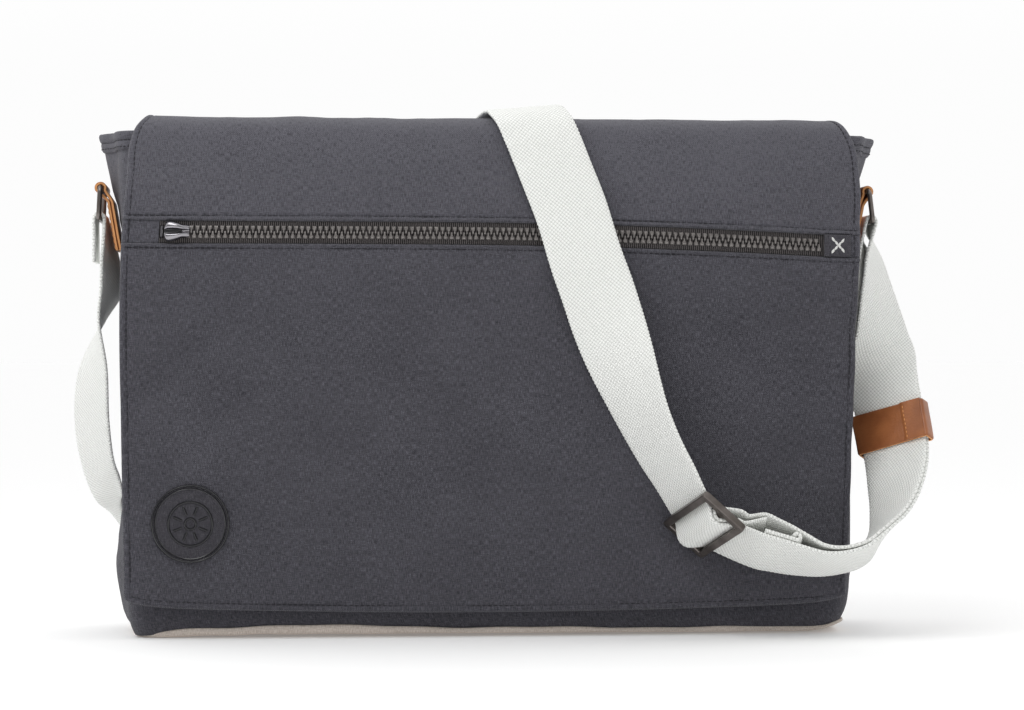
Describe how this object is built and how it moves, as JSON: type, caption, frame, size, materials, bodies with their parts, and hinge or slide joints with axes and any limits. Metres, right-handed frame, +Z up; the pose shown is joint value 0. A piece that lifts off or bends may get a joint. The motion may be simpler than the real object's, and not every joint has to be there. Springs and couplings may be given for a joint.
{
  "type": "laptop case",
  "caption": "Canvas messenger-style laptop case with a zipped flap, a cream base, tan leather ring tabs and an off-white webbing shoulder strap with a slide.",
  "frame": {"origin": "middle of the flat underside of the base, on the floor that the case stands on", "axes": "+X to the right seen from the front, +Y to the back, +Z up"},
  "size_m": [0.473, 0.1691, 0.2916],
  "materials": {
    "canvas": "dark blue-grey canvas, matt, fine melange weave",
    "cream_canvas": "cream canvas, matt",
    "webbing": "off-white cotton webbing, coarse weave",
    "tan_leather": "tan leather, semi-gloss, light cut edges",
    "gunmetal": "gunmetal plated metal, soft shine",
    "zip_tape": "dark ribbed zip tape",
    "zip_teeth": "moulded dark brown teeth with a slight metallic sheen",
    "black_nickel": "black nickel, glossy",
    "badge_print": "black raised gel print"
  },
  "bodies": {
    "root": {"front_panel": "canvas", "back_panel": "canvas", "gusset_left": "canvas", "gusset_right": "canvas", "base_panel": "cream_canvas", "rim_hem": "canvas", "flap": "canvas", "zip_tape": "zip_tape", "zip_teeth": "zip_teeth", "zip_slider": "black_nickel", "zip_stop": "black_nickel", "zip_end_tab": "canvas", "badge": "badge_print", "leather_tab_left": "tan_leather", "leather_tab_right": "tan_leather", "ring_left": "gunmetal", "ring_right": "gunmetal", "strap": "webbing", "slide_buckle": "gunmetal", "leather_keeper": "tan_leather"}
  },
  "joints": []
}
